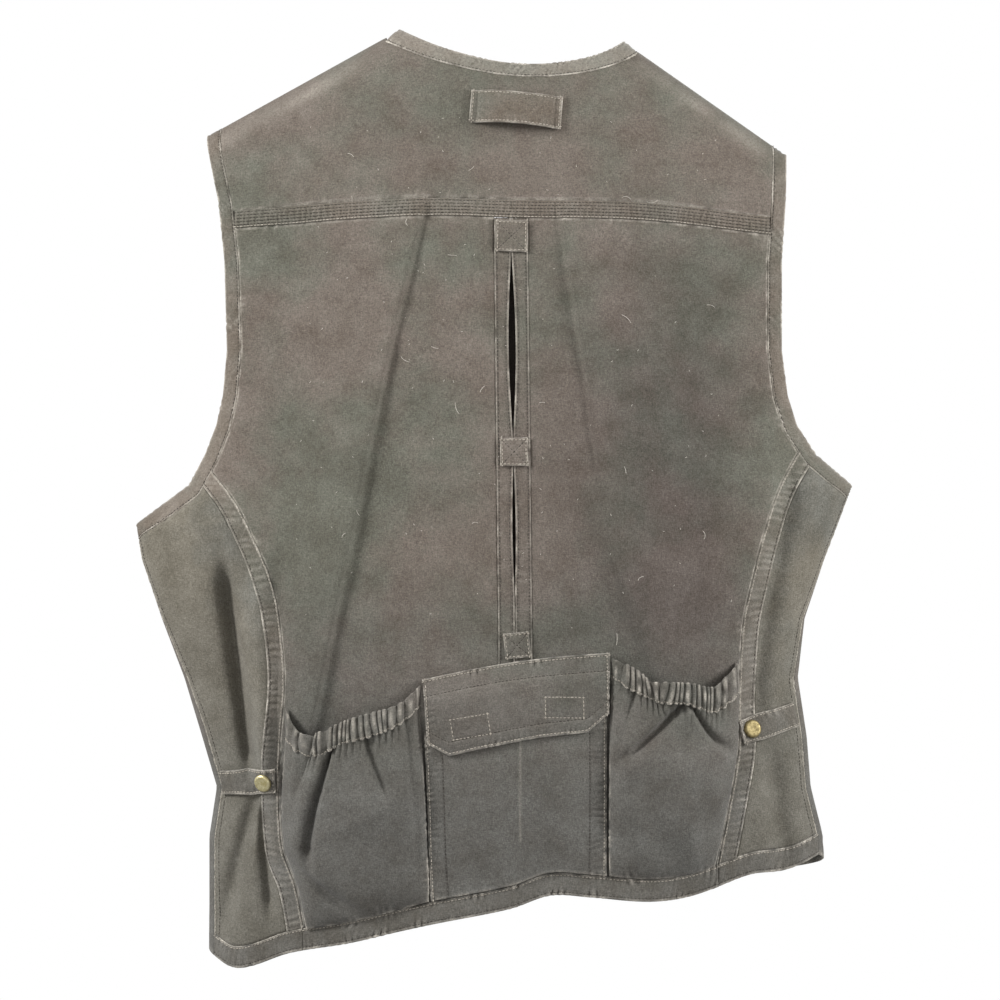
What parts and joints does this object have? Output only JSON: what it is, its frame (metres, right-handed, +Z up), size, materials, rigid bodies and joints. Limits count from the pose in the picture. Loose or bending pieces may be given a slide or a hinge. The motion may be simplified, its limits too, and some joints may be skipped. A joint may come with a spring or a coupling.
{
  "type": "utility work vest",
  "caption": "Canvas utility work vest with a vented back, a flapped pocket between two elastic-mouth pockets, side adjuster tabs with brass snaps, and an open neck and armholes.",
  "frame": {"origin": "middle of the shoulders, at the height of the neck points, where the vest hangs", "axes": "+Z up, +X across towards the wearer's right side as seen from behind, -Y out of the back"},
  "size_m": [0.5804, 0.1524, 0.7558],
  "materials": {
    "canvas": "washed cotton canvas, brown grey, matt",
    "side_canvas": "washed cotton canvas, green grey, matt",
    "trim": "folded and stitched canvas with whitish worn edges",
    "underlay": "dark canvas in shadow behind the vent",
    "snap_brass": "pressed antique brass, worn to satin"
  },
  "bodies": {
    "root": {"back_yoke": "canvas", "back_panel_left": "canvas", "back_panel_right": "canvas", "vent_facing_left": "canvas", "vent_facing_right": "canvas", "front_panel_left": "canvas", "front_panel_right": "canvas", "side_panel_left": "side_canvas", "side_panel_right": "side_canvas", "elastic_pocket_left": "side_canvas", "elastic_pocket_right": "side_canvas", "center_pocket": "side_canvas", "yoke_band": "trim", "neck_band": "trim", "armhole_band_left": "trim", "armhole_band_right": "trim", "seam_band_left": "trim", "seam_band_right": "trim", "hem_back": "trim", "hem_side_left": "trim", "hem_side_right": "trim", "front_placket": "trim", "cross_tack_top": "trim", "cross_tack_middle": "trim", "cross_tack_bottom": "trim", "back_loop": "trim", "pocket_flap": "trim", "elastic_cuff_left": "trim", "elastic_cuff_right": "trim", "side_tab_left": "trim", "side_tab_right": "trim", "vent_underlay": "underlay", "snap_cap_left": "snap_brass", "snap_cap_right": "snap_brass"}
  },
  "joints": []
}
